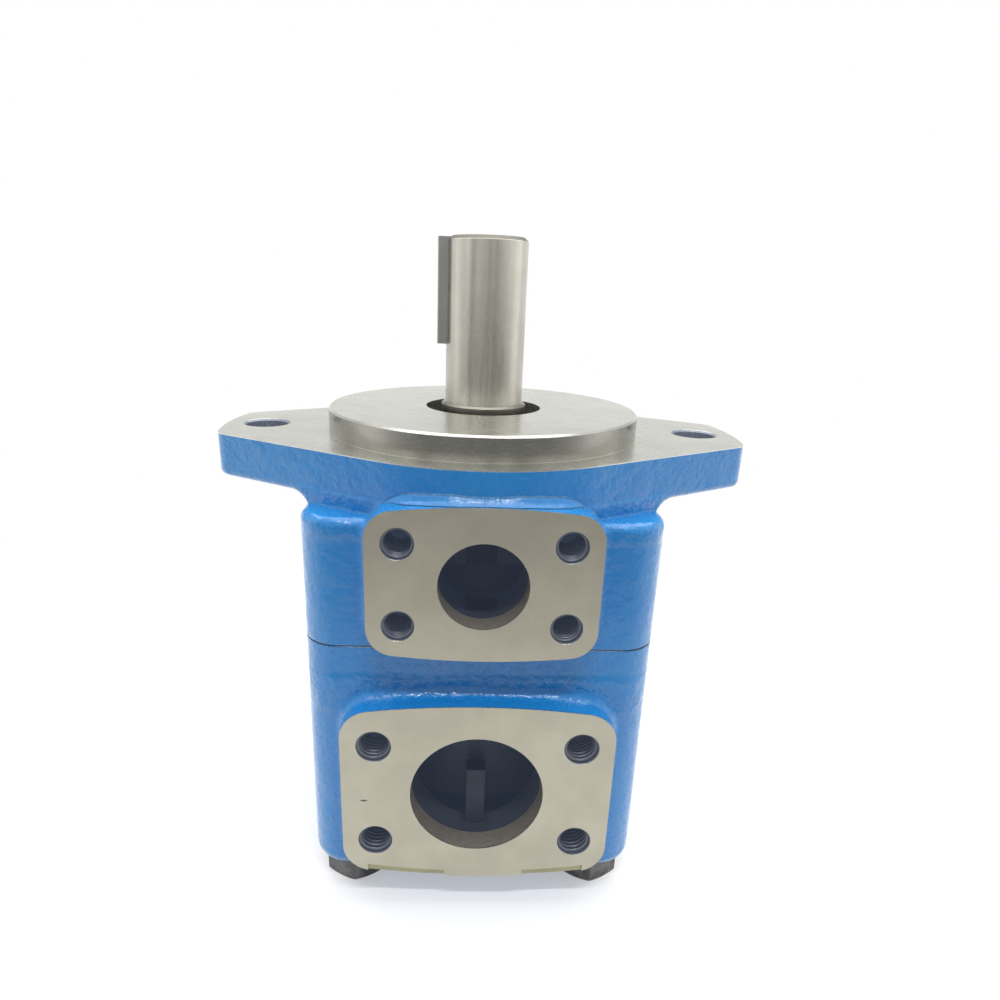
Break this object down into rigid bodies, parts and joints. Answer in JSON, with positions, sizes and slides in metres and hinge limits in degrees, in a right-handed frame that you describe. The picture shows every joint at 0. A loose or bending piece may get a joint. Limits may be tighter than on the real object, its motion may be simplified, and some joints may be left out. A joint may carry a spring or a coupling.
{
  "type": "hydraulic vane pump",
  "caption": "Flange-mounted hydraulic vane pump: square cast housing and cover, keyed drive shaft, inlet and outlet port pads on the same side, working vane cartridge inside.",
  "frame": {"origin": "on the shaft axis, in the plane of the mounting face (the face of the flange that the pilot stands on)", "axes": "+Z along the shaft axis towards the shaft's free end; both port pads face -Y; the flange's two holes lie along X"},
  "size_m": [0.2126, 0.1503, 0.2565],
  "materials": {
    "blue_enamel": "gloss",
    "blue_enamel_cover": "gloss",
    "black_bolt": "satin",
    "ground_steel": "satin",
    "key_steel": "satin",
    "seal_sheet": "satin",
    "seal_rubber": "satin",
    "spring_steel": "satin",
    "bearing_steel": "polished",
    "ball_steel": "polished",
    "cage_brass": "satin",
    "plate_iron": "satin",
    "port_plate_bronze": "satin",
    "cam_ring_steel": "satin",
    "rotor_steel": "satin",
    "vane_steel": "satin",
    "bushing_bronze": "satin"
  },
  "bodies": {
    "casing": {"housing": "blue_enamel", "cover": "blue_enamel_cover", "cover_bolts": "black_bolt", "seal_case": "seal_sheet", "seal_lip": "seal_rubber", "garter_spring": "spring_steel", "bearing_outer_ring": "bearing_steel", "bearing_retainer": "spring_steel", "outlet_support_plate": "plate_iron", "inlet_support_plate": "plate_iron", "front_side_plate": "port_plate_bronze", "rear_side_plate": "port_plate_bronze", "cam_ring": "cam_ring_steel", "tail_bushing": "bushing_bronze", "cartridge_dowels": "bearing_steel", "cartridge_screws": "key_steel", "plate_o_ring": "seal_rubber", "hub_o_ring": "seal_rubber", "cover_o_ring": "seal_rubber"},
    "shaft": {"drive_shaft": "ground_steel", "drive_key": "key_steel", "bearing_inner_ring": "bearing_steel", "shaft_snap_ring": "spring_steel", "rotor": "rotor_steel", "vane_inserts": "vane_steel"},
    "cage": {"bearing_balls": "ball_steel", "bearing_cage": "cage_brass"},
    "vane_1": {"vane_1": "vane_steel"},
    "vane_2": {"vane_2": "vane_steel"},
    "vane_3": {"vane_3": "vane_steel"},
    "vane_4": {"vane_4": "vane_steel"},
    "vane_5": {"vane_5": "vane_steel"},
    "vane_6": {"vane_6": "vane_steel"},
    "vane_7": {"vane_7": "vane_steel"},
    "vane_8": {"vane_8": "vane_steel"},
    "vane_9": {"vane_9": "vane_steel"},
    "vane_10": {"vane_10": "vane_steel"}
  },
  "joints": [
    {"name": "shaft_spin", "type": "hinge", "parent": "casing", "child": "shaft", "pos_m": [0, 0, 0], "axis": [0, 0, 1], "continuous": true},
    {"name": "cage_orbit", "type": "hinge", "parent": "casing", "child": "cage", "pos_m": [0, 0, -0.024], "axis": [0, 0, 1], "continuous": true},
    {"name": "vane_1_slide", "type": "slide", "parent": "shaft", "child": "vane_1", "axis": [0.9877, 0.1564, 0], "range_m": [0, 0.0051]},
    {"name": "vane_2_slide", "type": "slide", "parent": "shaft", "child": "vane_2", "axis": [0.7071, 0.7071, 0], "range_m": [0, 0.0031]},
    {"name": "vane_3_slide", "type": "slide", "parent": "shaft", "child": "vane_3", "axis": [0.1564, 0.9877, 0], "range_m": [0, 0.00075]},
    {"name": "vane_4_slide", "type": "slide", "parent": "shaft", "child": "vane_4", "axis": [-0.454, 0.891, 0], "range_m": [0, 0.0012]},
    {"name": "vane_5_slide", "type": "slide", "parent": "shaft", "child": "vane_5", "axis": [-0.891, 0.454, 0], "range_m": [0, 0.0048]},
    {"name": "vane_6_slide", "type": "slide", "parent": "shaft", "child": "vane_6", "axis": [-0.9877, -0.1564, 0], "range_m": [0, 0.0051]},
    {"name": "vane_7_slide", "type": "slide", "parent": "shaft", "child": "vane_7", "axis": [-0.7071, -0.7071, 0], "range_m": [0, 0.0031]},
    {"name": "vane_8_slide", "type": "slide", "parent": "shaft", "child": "vane_8", "axis": [-0.1564, -0.9877, 0], "range_m": [0, 0.00075]},
    {"name": "vane_9_slide", "type": "slide", "parent": "shaft", "child": "vane_9", "axis": [0.454, -0.891, 0], "range_m": [0, 0.0012]},
    {"name": "vane_10_slide", "type": "slide", "parent": "shaft", "child": "vane_10", "axis": [0.891, -0.454, 0], "range_m": [0, 0.0048]}
  ],
  "couplings": [
    {"joint": "cage_orbit", "follows": "shaft_spin", "ratio": 0.39626}
  ]
}
